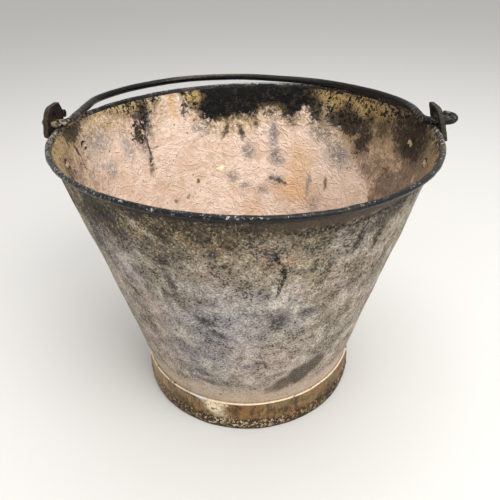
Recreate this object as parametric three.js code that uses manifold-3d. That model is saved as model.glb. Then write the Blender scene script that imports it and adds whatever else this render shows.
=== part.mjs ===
// A conical sheet steel bucket with a wired rim, a hooped foot, riveted iron ears and a swinging rod handle.
// Millimetres, +Z up. The ears lie on the X axis and the handle is folded back towards +Y.
// The bucket stands on Z = 0, set so that its box, handle included, is centred over the origin.
import * as THREE from 'three';
import { mergeVertices } from 'three/addons/utils/BufferGeometryUtils.js';
import Module from 'manifold-3d';

const wasm = await Module();
wasm.setup();

// Play between pieces that touch
const fitGap = 0.3;

// Body: a cone of thin sheet, rolled outwards round a wire at the top and straight where it stands in the foot
const sheet = 0.8;
const wireRadius = 0.85;
const rimRadius = 150;
const rimHeight = 236.2;
const curlTurn = 285;
const wallFootRadius = 98.3;
const seamWidth = 9;
const seamProud = 0.9;
const seamInset = 2.5;
const seamAzimuth = 137;

// Foot: a hoop with a bead along its top and a thick rolled hem at the floor
const footHeight = 31;
const footSheet = 1.1;
const footBead = 0.7;
const hemHeight = 11;
const hemBulge = 1.5;
const hemFlat = 2;

// Bottom plate with a turned-down flange, set up inside the foot
const baseHeight = 16;
const baseSheet = 1;
const flangeDepth = 7;

// Ears: iron plates riveted under the rim, bent out round it and leaning in over it. Each head reaches to the
// front, to the rear and over the eye (its land). Its crown is the radius of the top front corner, and the top
// rear corner is cut off by a bevel, wide and tall.
const earThickness = 4.3;
const earFootDrop = 31.2;
const earFootTall = 18;
const earFootWidth = 61;
const earNeckWidth = 16;
const earCorner = 4;
const earChin = 6;
const eyeRadius = 6.3;
const eyePlay = 0.5;
const ears = {
  left: {
    side: -1, elbowDrop: 4, elbowGap: 3, lean: 10,
    front: 13, rear: 20, land: 5.3, crown: 11, bevel: [7, 9],
  },
  right: {
    side: 1, elbowDrop: 9, elbowGap: 4.1, lean: 18,
    front: 11, rear: 15.5, land: 2.4, crown: 10, bevel: [2, 4],
  },
};

// Rivets: domed outside, closed with a dished head inside
const rivetRadius = 2.5;
const rivetSpread = 45;
const domeRadius = 4.8;
const domeHeight = 2.4;
const tailRadius = 4.3;
const tailHeight = 1.1;
const dishRadius = 1.8;
const dishDepth = 0.5;

// Handle: one bent rod with a hook through each ear. A leg stands inside the rim by its inset, and a hook's curve
// starts inside its ear's outer face by its seat, turns back through its turn and runs on towards the bucket.
const rodRadius = 3.2;
const restPlay = 0.1;
const hingePlay = 0.2;
const bendRadius = 7;
const archOver = 8.7;
const hooks = {
  left: { ear: ears.left, legInset: 9, seat: 4.2, depth: 5, width: 29, turn: 90, run: 2.5 },
  right: { ear: ears.right, legInset: 8.4, seat: 2.55, depth: 9, width: 18, turn: 72, run: 0 },
};

// The arch's way from the left leg to the right one, in shares of the rim's radius and of the arch's reach
const archWay = [
  [-0.94, 0.151], [-0.941, 0.302], [-0.931, 0.454], [-0.881, 0.57], [-0.787, 0.706], [-0.673, 0.813],
  [-0.55, 0.899], [-0.417, 0.959], [-0.253, 0.991], [-0.067, 1], [0.08, 0.972], [0.217, 0.931], [0.353, 0.882],
  [0.485, 0.822], [0.607, 0.736], [0.72, 0.628], [0.82, 0.508], [0.9, 0.368], [0.939, 0.239], [0.944, 0.126],
];

// Years of knocks: the rim is a little oval, lobed, pushed to one side and out of level. The foot is true.
const ovalReach = 1.3;
const ovalAzimuth = 119;
const lobeReach = 1.4;
const lobeAzimuth = 50.5;
const rimShift = 1.6;
const rimSaddle = 1;
const saddleAzimuth = 47.8;

// Facets round the body, and round a rivet and the rod
const bodySides = 64;
const rivetSides = 12;
const rodSides = 8;
const rodSteps = 130;

// Sizes that follow
const beadRadius = wireRadius + fitGap + sheet;
const curlRadius = beadRadius - sheet;
const riseToRim = rimHeight - footHeight;
const outToRim = rimRadius - wallFootRadius;
const wallLean = Math.atan2(outToRim, riseToRim) - Math.asin(curlRadius / Math.hypot(outToRim, riseToRim));
const archHeight = rimHeight + beadRadius + rimSaddle + restPlay + rodRadius;
const hingeHeight = rimHeight + beadRadius + hingePlay + rodRadius;
const eyeHeight = hingeHeight + eyeRadius - rodRadius - eyePlay;
const wallBottom = baseHeight - flangeDepth;
const earFootBottom = rimHeight - earFootDrop;
const earFootTop = earFootBottom + earFootTall;
const rivetHeight = earFootBottom + 0.6 * earFootTall;
const hookStart = ({ ear, seat }) => rimRadius + beadRadius + ear.elbowGap + earThickness - seat;
const hookReach = (hook) => hookStart(hook) + hook.depth;
const setBack = (archOver + rodRadius - beadRadius) / 2;
const setAside = (hookReach(hooks.right) - hookReach(hooks.left)) / 2;

const wallOuter = (z) => wallFootRadius + (z - footHeight) * Math.tan(wallLean);
const skirtInner = wallFootRadius - sheet;
const rad = THREE.MathUtils.degToRad;

// Turns a closed outline of [radius, height] pairs round the Z axis
function turned(outline, sides = bodySides) {
  const points = outline.map(([r, z]) => new THREE.Vector2(r, z));
  return new THREE.LatheGeometry(points, sides).rotateX(Math.PI / 2);
}

function solidOf(geometry) {
  const bare = geometry.clone();
  bare.deleteAttribute('normal');
  bare.deleteAttribute('uv');
  const merged = mergeVertices(bare, 1e-4);
  const index = merged.index.array;
  const kept = [];
  for (let i = 0; i < index.length; i += 3) {
    const [a, b, c] = [index[i], index[i + 1], index[i + 2]];
    if (a !== b && b !== c && c !== a) kept.push(a, b, c);
  }
  const mesh = new wasm.Mesh({
    numProp: 3,
    vertProperties: new Float32Array(merged.attributes.position.array),
    triVerts: new Uint32Array(kept),
  });
  return new wasm.Manifold(mesh);
}

function geometryOf(solid) {
  const mesh = solid.getMesh();
  const geometry = new THREE.BufferGeometry();
  geometry.setAttribute('position', new THREE.BufferAttribute(new Float32Array(mesh.vertProperties), 3));
  geometry.setIndex(new THREE.BufferAttribute(new Uint32Array(mesh.triVerts), 1));
  return geometry;
}

// Moves the points of the upper body to where the knocks left them, more the nearer they are to the rim
function knocked(geometry) {
  const spots = geometry.attributes.position;
  for (let i = 0; i < spots.count; i++) {
    const x = spots.getX(i);
    const y = spots.getY(i);
    const z = spots.getZ(i);
    const share = Math.max(0, (z - footHeight) / riseToRim);
    const azimuth = Math.atan2(y, x);
    const swell = ovalReach * Math.cos(2 * (azimuth - rad(ovalAzimuth)))
      + lobeReach * Math.cos(3 * (azimuth - rad(lobeAzimuth)));
    const rise = rimSaddle * Math.cos(2 * (azimuth - rad(saddleAzimuth)));
    spots.setX(i, x + share * (swell * Math.cos(azimuth) + rimShift));
    spots.setY(i, y + share * swell * Math.sin(azimuth));
    spots.setZ(i, z + share * rise);
  }
  return geometry;
}

// The frame of a rivet: its axis is square to the wall and points outwards, its origin is on the wall's outside
function rivetPlace(side, hand) {
  const seat = wallOuter(rivetHeight);
  const azimuth = (side > 0 ? 0 : Math.PI) + hand * Math.asin(rivetSpread / 2 / seat);
  const out = new THREE.Vector3(Math.cos(azimuth), Math.sin(azimuth), 0);
  const along = out.clone().multiplyScalar(Math.cos(wallLean)).setZ(-Math.sin(wallLean));
  const turn = new THREE.Quaternion().setFromUnitVectors(new THREE.Vector3(0, 0, 1), along);
  return new THREE.Matrix4().compose(
    out.multiplyScalar(seat).setZ(rivetHeight), turn, new THREE.Vector3(1, 1, 1));
}

function rivetBore(side, hand) {
  const length = 6 * domeRadius;
  const bore = new THREE.CylinderGeometry(rivetRadius + fitGap, rivetRadius + fitGap, length, rivetSides);
  return solidOf(bore.rotateX(Math.PI / 2).applyMatrix4(rivetPlace(side, hand)));
}

function wallGeometry() {
  const start = Math.PI - wallLean;
  const steps = 9;
  const curl = (radius, step) => {
    const angle = start - rad(curlTurn) * step / steps;
    return [rimRadius + radius * Math.cos(angle), rimHeight + radius * Math.sin(angle)];
  };
  const outline = [[wallFootRadius, wallBottom], [wallFootRadius, footHeight]];
  for (let step = 0; step <= steps; step++) outline.push(curl(curlRadius, step));
  for (let step = steps; step >= 0; step--) outline.push(curl(beadRadius, step));
  outline.push([skirtInner, footHeight + sheet * Math.tan(wallLean / 2)]);
  outline.push([skirtInner, wallBottom], [wallFootRadius, wallBottom]);

  const seamLow = footHeight + seamInset;
  const seamHigh = rimHeight - beadRadius - seamInset;
  const middle = (seamLow + seamHigh) / 2;
  const buried = sheet * 0.6;
  const strip = new THREE.BoxGeometry(seamProud + buried, seamWidth, (seamHigh - seamLow) / Math.cos(wallLean));
  strip.translate((seamProud - buried) / 2, 0, 0);
  strip.rotateY(wallLean);
  strip.translate(wallOuter(middle), 0, middle);
  strip.rotateZ(rad(seamAzimuth));

  let wall = solidOf(turned(outline)).add(solidOf(strip));
  for (const side of [-1, 1]) {
    for (const hand of [-1, 1]) wall = wall.subtract(rivetBore(side, hand));
  }
  return knocked(geometryOf(wall));
}

function rimWireGeometry() {
  const sides = 6;
  const outline = [];
  for (let step = 0; step <= sides; step++) {
    const angle = 2 * Math.PI * step / sides;
    outline.push([rimRadius + wireRadius * Math.cos(angle), rimHeight + wireRadius * Math.sin(angle)]);
  }
  return knocked(turned(outline));
}

function baseGeometry() {
  const flange = skirtInner - fitGap;
  const top = baseHeight + baseSheet;
  return turned([
    [0, baseHeight],
    [flange - baseSheet, baseHeight],
    [flange - baseSheet, wallBottom],
    [flange, wallBottom],
    [flange, top - baseSheet / 2],
    [flange - baseSheet / 2, top],
    [0, top],
  ]);
}

function footGeometry() {
  const inner = wallFootRadius + fitGap;
  const outer = inner + footSheet;
  const hem = outer + hemBulge;
  return turned([
    [inner, 0],
    [inner + hemFlat, 0],
    [hem - hemBulge * 0.25, hemHeight * 0.15],
    [hem, hemHeight * 0.45],
    [hem - hemBulge * 0.3, hemHeight * 0.8],
    [outer, hemHeight],
    [outer, footHeight - 3 * footBead],
    [outer + footBead, footHeight - 1.5 * footBead],
    [outer + footBead * 0.5, footHeight],
    [inner, footHeight],
    [inner, 0],
  ]);
}

// Cuts an ear out of a ring that has the ear's side section, by the ear's outline seen along X
function earGeometry({ side, elbowDrop, elbowGap, lean, front, rear, land, crown, bevel }) {
  const elbow = rimRadius + beadRadius + elbowGap;
  const elbowHeight = rimHeight - elbowDrop;
  const headTop = eyeHeight + eyeRadius + land;
  const above = headTop + earThickness;
  const below = earFootBottom - earThickness;
  const path = [
    [wallOuter(below) + fitGap, below],
    [wallOuter(earFootTop) + fitGap, earFootTop],
    [elbow, elbowHeight],
    [elbow - (above - elbowHeight) * Math.tan(rad(lean)), above],
  ];
  const ring = [...path].reverse();
  for (const [r, z] of path) ring.push([r + earThickness, z]);
  ring.push(ring[0]);

  const foot = earFootWidth / 2;
  const neckFront = front - earChin;
  const neckRear = earNeckWidth - neckFront;
  const outline = new THREE.Shape();
  outline.moveTo(-foot + earCorner, earFootBottom);
  outline.lineTo(foot - earCorner, earFootBottom);
  outline.absarc(foot - earCorner, earFootBottom + earCorner, earCorner, -Math.PI / 2, 0);
  outline.absarc(foot - earCorner, earFootTop - earCorner, earCorner, 0, Math.PI / 2);
  outline.lineTo(neckRear, earFootTop);
  outline.lineTo(neckRear, elbowHeight);
  outline.absarc(rear - earCorner, elbowHeight + earCorner, earCorner, -Math.PI / 2, 0);
  outline.lineTo(rear, headTop - bevel[1]);
  outline.lineTo(rear - bevel[0], headTop);
  outline.absarc(crown - front, headTop - crown, crown, Math.PI / 2, Math.PI);
  outline.absarc(earChin - front, elbowHeight + earChin, earChin, Math.PI, 1.5 * Math.PI);
  outline.lineTo(-neckFront, earFootTop);
  outline.absarc(-foot + earCorner, earFootTop - earCorner, earCorner, Math.PI / 2, Math.PI);
  outline.absarc(-foot + earCorner, earFootBottom + earCorner, earCorner, Math.PI, 1.5 * Math.PI);
  const eye = new THREE.Path();
  eye.absarc(0, eyeHeight, eyeRadius, 0, 2 * Math.PI, true);
  outline.holes.push(eye);

  const reach = elbow + 2 * earThickness;
  const cutter = new THREE.ExtrudeGeometry(outline, { depth: reach, bevelEnabled: false, curveSegments: 6 });
  const acrossX = new THREE.Matrix4().makeBasis(
    new THREE.Vector3(0, 1, 0), new THREE.Vector3(0, 0, 1), new THREE.Vector3(1, 0, 0));
  cutter.applyMatrix4(acrossX);
  if (side < 0) cutter.translate(-reach, 0, 0);

  let ear = solidOf(turned(ring)).intersect(solidOf(cutter));
  for (const hand of [-1, 1]) ear = ear.subtract(rivetBore(side, hand));
  return knocked(geometryOf(ear));
}

function rivetGeometry(side, hand) {
  const tail = -sheet - fitGap;
  const seat = fitGap + earThickness * Math.cos(wallLean) + fitGap;
  const outline = [
    [0, tail - tailHeight + dishDepth],
    [dishRadius, tail - tailHeight],
    [tailRadius - tailHeight / 2, tail - tailHeight],
    [tailRadius, tail],
    [rivetRadius, tail],
    [rivetRadius, seat],
    [domeRadius, seat],
    [domeRadius * 0.85, seat + domeHeight * 0.6],
    [domeRadius * 0.45, seat + domeHeight * 0.93],
    [0, seat + domeHeight],
  ];
  return knocked(turned(outline, rivetSides).applyMatrix4(rivetPlace(side, hand)));
}

// A point of the rod's way. The folded handle rises a little from the ears to where it rests on the rim.
function wayPoint(x, y) {
  return new THREE.Vector3(x, y, hingeHeight + (archHeight - hingeHeight) * y / rimRadius);
}

// The rod's way from an ear's hook to the start of its leg
function hookPoints(hook) {
  const { ear, legInset, depth, width, turn, run } = hook;
  const leg = rimRadius - legInset;
  const start = hookStart(hook);
  const points = run > 0 ? [[start - run, width]] : [];
  const corner = (x, y, radius, from, to) => {
    for (let step = 0; step <= 3; step++) {
      const angle = rad(from + (to - from) * step / 3);
      points.push([x + radius * Math.cos(angle), y + radius * Math.sin(angle)]);
    }
  };
  corner(start, width - depth, depth, turn, 0);
  corner(start, depth, depth, 0, -90);
  corner(leg + bendRadius, bendRadius, bendRadius, 270, 180);
  return points.map(([x, y]) => wayPoint(ear.side * x, y));
}

function handleGeometry() {
  const reach = rimRadius + archOver;
  const arch = archWay.map(([across, back]) => wayPoint(across * rimRadius, back * reach));
  const way = [...hookPoints(hooks.left), ...arch, ...hookPoints(hooks.right).reverse()];
  const apart = way.filter((point, i) => i === 0 || point.distanceTo(way[i - 1]) > 0.01);
  const path = new THREE.CatmullRomCurve3(apart, false, 'centripetal');
  path.arcLengthDivisions = 2000;
  const section = new THREE.Shape();
  for (let side = 0; side < rodSides; side++) {
    const angle = 2 * Math.PI * (side + 0.5) / rodSides;
    const spot = [rodRadius * Math.cos(angle), rodRadius * Math.sin(angle)];
    if (side === 0) section.moveTo(...spot);
    else section.lineTo(...spot);
  }
  return new THREE.ExtrudeGeometry(section, { steps: rodSteps, extrudePath: path, bevelEnabled: false });
}

const finish = (color, roughness, metalness) => new THREE.MeshStandardMaterial({ color, roughness, metalness });
const weatheredSheet = finish(0x8d8279, 0.85, 0.35);
const blackedWire = finish(0x2b2a28, 0.6, 0.6);
const footBrass = finish(0x8a7650, 0.75, 0.4);
const rustyIron = finish(0x3e2f22, 0.9, 0.4);
const greyIron = finish(0x6d6760, 0.85, 0.4);
const blackRod = finish(0x1f1e1d, 0.5, 0.6);

const bucket = new THREE.Group();
bucket.position.set(-setAside, -setBack, 0);

function place(name, geometry, material) {
  const mesh = new THREE.Mesh(geometry, material);
  mesh.name = name;
  bucket.add(mesh);
}

place('bucket_wall', wallGeometry(), weatheredSheet);
place('rim_wire', rimWireGeometry(), blackedWire);
place('base_plate', baseGeometry(), weatheredSheet);
place('foot_ring', footGeometry(), footBrass);
for (const [name, ear] of Object.entries(ears)) {
  place(`${name}_ear`, earGeometry(ear), name === 'left' ? rustyIron : greyIron);
  place(`${name}_ear_rivet_1`, rivetGeometry(ear.side, -1), rustyIron);
  place(`${name}_ear_rivet_2`, rivetGeometry(ear.side, 1), rustyIron);
}
place('bail_handle', handleGeometry(), blackRod);

export default bucket;
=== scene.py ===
import math
import bmesh
import bpy
import numpy as np
from mathutils import Matrix, Vector, noise


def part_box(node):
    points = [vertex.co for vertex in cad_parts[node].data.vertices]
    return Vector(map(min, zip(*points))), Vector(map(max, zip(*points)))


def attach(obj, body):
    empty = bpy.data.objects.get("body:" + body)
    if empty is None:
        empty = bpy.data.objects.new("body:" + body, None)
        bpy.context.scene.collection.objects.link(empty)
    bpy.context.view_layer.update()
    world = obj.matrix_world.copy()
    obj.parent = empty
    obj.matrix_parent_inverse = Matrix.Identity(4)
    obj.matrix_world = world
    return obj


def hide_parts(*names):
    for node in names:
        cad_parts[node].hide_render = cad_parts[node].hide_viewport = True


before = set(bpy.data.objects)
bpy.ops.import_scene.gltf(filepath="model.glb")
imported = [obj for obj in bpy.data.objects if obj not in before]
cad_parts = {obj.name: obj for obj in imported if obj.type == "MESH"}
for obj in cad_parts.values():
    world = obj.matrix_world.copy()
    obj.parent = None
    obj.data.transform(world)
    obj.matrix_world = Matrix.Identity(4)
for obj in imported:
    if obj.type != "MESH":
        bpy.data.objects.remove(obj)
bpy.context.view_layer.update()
print('frame loaded')

# Lengths are millimetres from the floor and the foot's middle. toFrame puts them into the frame, in metres.
footLow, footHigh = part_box('foot_ring')
axisX, axisY = (footLow.x + footHigh.x) * 500, (footLow.y + footHigh.y) * 500     # half of each sum, in mm


def toFrame(spots):
    return (np.asarray(spots, float) + (axisX, axisY, 0)) / 1000


# the camera, at the photograph's viewing angle
view = {
    'place': (18.298, -374.123, 355.685),
    'forward': (-0.033807, 0.848270, -0.528484),
    'right': (0.999427, 0.029519, -0.016552),
    'lens': 34.446, 'sensor': 36, 'clip': (0.01, 50),
}
forward, right = Vector(view['forward']), Vector(view['right'])
cameraData = bpy.data.cameras.new('camera')
cameraData.lens = view['lens']
cameraData.sensor_width = view['sensor']
cameraData.clip_start, cameraData.clip_end = view['clip']
camera = bpy.data.objects.new('camera', cameraData)
bpy.context.collection.objects.link(camera)
camera.matrix_world = Matrix.Translation(toFrame(view['place'])) @ Matrix(
    (right, right.cross(forward), -forward)).transposed().to_4x4()
bpy.context.scene.camera = camera


# a socket that can be added and multiplied in plain expressions, and below it a finish that makes the nodes
class Flow:
    def __init__(self, finish, socket):
        self.finish, self.socket = finish, socket

    def maths(self, operation, *terms):
        return self.finish.node('ShaderNodeMath', {'operation': operation}, dict(enumerate(terms)))

    def __add__(self, other):
        return self.maths('ADD', self, other)

    def __sub__(self, other):
        return self.maths('SUBTRACT', self, other)

    def __rsub__(self, other):
        return self.maths('SUBTRACT', other, self)

    def __mul__(self, other):
        return self.maths('MULTIPLY', self, other)

    __radd__ = __add__
    __rmul__ = __mul__

    def most(self, other):
        return self.maths('MAXIMUM', self, other)


def shade(red, green, blue):                 # a colour as it is seen, for Blender's linear sockets
    def straight(part):
        part /= 255
        return part / 12.92 if part <= 0.04045 else ((part + 0.055) / 1.055) ** 2.4
    return (straight(red), straight(green), straight(blue), 1)


class Finish:
    def __init__(self, name, fixed, look=None, ground=None):
        self.look, self.colour = look, look[ground] if ground else None
        self.material = bpy.data.materials.new(name)
        self.material.use_nodes = True
        self.tree = self.material.node_tree
        self.tree.nodes.clear()
        self.shader = self.node('ShaderNodeBsdfPrincipled', {}, fixed)
        self.node('ShaderNodeOutputMaterial', {}, {'Surface': self.shader}, None)
        spot = self.node('ShaderNodeTexCoord', {}, {}, 'Object')
        spot = self.node('ShaderNodeVectorMath', {'operation': 'SCALE'}, {0: spot, 'Scale': 1000})
        self.place = self.vector('SUBTRACT', spot, (axisX, axisY, 0))

    # every node comes from here: its type, settings, what goes into its sockets and the output that is wanted
    def node(self, kind, settings, inputs, out=0):
        made = self.tree.nodes.new(kind)
        for name, value in settings.items():
            if name == 'stops':
                while len(made.color_ramp.elements) < len(value):
                    made.color_ramp.elements.new(0.5)
                for stop, (where, level) in zip(made.color_ramp.elements, value):
                    stop.position = where
                    stop.color = level if isinstance(level, tuple) else (level, level, level, 1)
            elif name == 'joining':
                made.color_ramp.interpolation = value
            else:
                setattr(made, name, value)
        for name, value in inputs.items():
            if isinstance(value, Flow):
                self.tree.links.new(value.socket, made.inputs[name])
            else:
                made.inputs[name].default_value = value
        return Flow(self, made.outputs[out]) if out is not None else made

    def vector(self, operation, *terms):
        out = 'Value' if operation == 'LENGTH' else 'Vector'
        return self.node('ShaderNodeVectorMath', {'operation': operation}, dict(enumerate(terms)), out)

    def parts(self, vector):
        first = self.node('ShaderNodeSeparateXYZ', {}, {0: vector})
        return first, *(Flow(self, first.socket.node.outputs[i]) for i in (1, 2))

    def moved(self, place, seed):            # another stretch of the same noise
        return self.vector('ADD', place or self.place, (seed * 311, seed * 173, seed * 97))

    def grain(self, size, detail=3, rough=0.5, swirl=0, seed=0, place=None):
        return self.node('ShaderNodeTexNoise', {}, {
            'Vector': self.moved(place, seed), 'Scale': 1 / size, 'Detail': detail, 'Roughness': rough,
            'Distortion': swirl})

    def cells(self, size, seed):
        return self.node('ShaderNodeTexVoronoi', {}, {'Vector': self.moved(None, seed), 'Scale': 1 / size})

    def step(self, value, low, high):        # 0 at low, 1 at high, smooth between them
        return self.node('ShaderNodeMapRange', {'interpolation_type': 'SMOOTHSTEP'}, {
            'Value': value, 'From Min': low, 'From Max': high})

    def between(self, value, rise, fall):    # 1 where the value has risen and not yet fallen
        return self.step(value, *rise) * self.step(value, *fall)

    def mix(self, mask, under, over):
        return self.node('ShaderNodeMix', {'data_type': 'RGBA'}, {0: mask, 6: under, 7: over}, 2)

    def lay(self, mask, tone):               # lays a tone of the look, or a mixed colour, over what is there
        self.colour = self.mix(mask, self.colour, self.look[tone] if isinstance(tone, str) else tone)

    def wander(self, place, size, reach):    # pushes a place to and fro, so that marks get ragged edges
        push = self.node('ShaderNodeTexNoise', {}, {
            'Vector': self.place, 'Scale': 1 / size, 'Detail': 3}, 'Color')
        push = self.vector('MULTIPLY', self.vector('SUBTRACT', push, (0.5, 0.5, 0.5)), (reach, reach, 0))
        return self.vector('ADD', place, push)

    def line(self, value, start, end, stops, low, high):   # a drawn line: stops of (value, result)
        share = self.node('ShaderNodeMapRange', {}, {'Value': value, 'From Min': start, 'From Max': end})
        points = [((at - start) / (end - start), (level - low) / (high - low)) for at, level in stops]
        drawn = self.node('ShaderNodeValToRGB', {'stops': points, 'joining': 'LINEAR'}, {0: share})
        return drawn * (high - low) + low

    # soft ovals on the flat sheet, each (degrees, height), (width, tallness), lean, softness, strength
    def marks(self, sheetPlace, listing):
        total = None
        for (turn, height), (wide, tall), lean, soft, strength in listing:
            near = self.node('ShaderNodeMapping', {'vector_type': 'TEXTURE'}, {
                'Vector': sheetPlace, 'Location': (turn * degreeRun, height, 0),
                'Rotation': (0, 0, math.radians(lean)), 'Scale': (wide / 2, tall / 2, 1)})
            one = self.step(self.vector('LENGTH', near), 1 + soft, 1 - soft) * strength
            total = one if total is None else total.most(one)
        return total

    def relief(self, height, strength=1):    # height in millimetres
        return self.node('ShaderNodeBump', {}, {
            'Height': height, 'Distance': 0.001, 'Strength': strength}, 'Normal')

    def paint(self, inputs):
        for name, value in {'Base Color': self.colour, **inputs}.items():
            self.tree.links.new(value.socket, self.shader.socket.node.inputs[name])
        return self.material


degreeRun = 2.2                              # millimetres of sheet to a degree, where marks are placed


# the sheet laid flat: degrees from the front (turned -1) or the back (turned 1), and height
def sheetPlaces(finish, turned):
    x, y, z = finish.parts(finish.place)
    turn = x.maths('ARCTAN2', x, y * turned) * math.degrees(1)
    flat = finish.node('ShaderNodeCombineXYZ', {}, {0: turn * degreeRun, 1: z})
    return turn, z, flat


# Outside, degrees run from the front: left is below 0.
outsideLook = {
    'taupe': shade(166, 156, 143), 'pink': shade(174, 156, 144), 'olive': shade(148, 137, 114),
    'lavender': shade(150, 151, 160), 'pale': shade(222, 211, 195), 'brown': shade(92, 77, 58),
    'grime': shade(54, 43, 27), 'black': shade(22, 19, 15), 'foot': shade(190, 168, 146),
    'rust': shade(176, 126, 96), 'band': shade(78, 64, 52), 'gold': shade(166, 142, 98),
    'smear': shade(74, 63, 49), 'fleck': shade(192, 170, 130),
    'blue': [((-6, 140), (84, 64), 15, 0.7, 1), ((-14, 100), (64, 40), 20, 0.7, 1),
             ((13, 146), (44, 30), 0, 0.7, 0.8), ((-38, 180), (40, 50), 0, 0.7, 0.6),
             ((-18, 72), (40, 26), 20, 0.7, 0.9), ((4, 82), (26, 24), 0, 0.8, 0.7)],
    'golden': [((-2, 213), (70, 18), 0, 0.8, 1), ((12, 200), (40, 18), 0, 0.8, 0.6),
               ((22, 190), (30, 30), 0, 0.8, 0.5)],
    'dark': [((-35, 219.5), (18, 3.4), -17, 0.5, 1), ((-39, 152), (10, 3), -30, 0.5, 0.8),
             ((-19.3, 176), (6, 26), 8, 0.7, 0.75), ((-5.8, 207), (10, 8), 30, 0.6, 0.9),
             ((-19.7, 195), (10, 10), 0, 0.6, 0.85), ((10.2, 203), (3, 13), 22, 0.5, 1),
             ((12.2, 190), (2.8, 13), 8, 0.4, 1), ((11.4, 176), (2.6, 16), -14, 0.4, 0.9),
             ((31.9, 207), (5.5, 22), -12, 0.6, 0.9), ((39.4, 200), (5.5, 20), -8, 0.6, 0.9),
             ((36, 213), (16, 9), 0, 0.7, 0.6), ((20.8, 148), (13, 10), 0, 0.7, 0.8),
             ((12.3, 143), (13, 20), -20, 0.7, 0.85), ((-11.2, 141), (14, 9), -30, 0.6, 0.85),
             ((-8, 128), (18, 5), -35, 0.6, 0.7), ((-11.5, 42.4), (3, 2.4), 0, 0.4, 1),
             ((-5, 197), (3, 3), 0, 0.4, 0.9), ((-2.6, 197.5), (3, 3), 0, 0.4, 0.9),
             ((-28, 165), (8, 30), -10, 0.8, 0.5)],
    'stripHeights': (62, 42), 'grimeHeights': (204, 232), 'bandHeights': (223.5, 226.5),
    'beadShadowHeights': (230, 233), 'upHeights': (80, 215), 'dullHeights': (130, 70),
    'dullTurns': ((16, 46), (5, -25)), 'grimeTurns': ((10, -40), (-172, -120)),
    'bandTurns': ((0, 12), (75, 50)), 'ragTurns': (16, 23, 30, 37, 45),
    'smudge': [((13, 52), (20, 9), 30, 0.5, 0.6), ((18, 57), (28, 17), 34, 0.4, 0.9),
               ((25, 65), (32, 24), 32, 0.3, 1), ((31.5, 72.5), (26, 18), 24, 0.35, 1),
               ((-17, 60), (26, 6), -12, 0.7, 0.8)],
    'light': [((-22, 217), (17, 4), -34, 0.8, 0.6), ((-25, 222), (7, 3), -34, 0.8, 0.6),
              ((10.9, 161.3), (12, 10), 30, 0.7, 0.9), ((38.5, 187), (3.5, 3.5), 0, 0.6, 0.9),
              ((-46, 160), (8, 26), 8, 0.8, 0.4)],
    'rusty': [((-17.6, 173), (9, 18), 0, 0.8, 0.8), ((8, 202), (12, 13), 0, 0.8, 0.8),
              ((14, 198), (10, 16), 0, 0.8, 0.5), ((6, 86), (30, 12), 20, 0.8, 0.5)],
}


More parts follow.
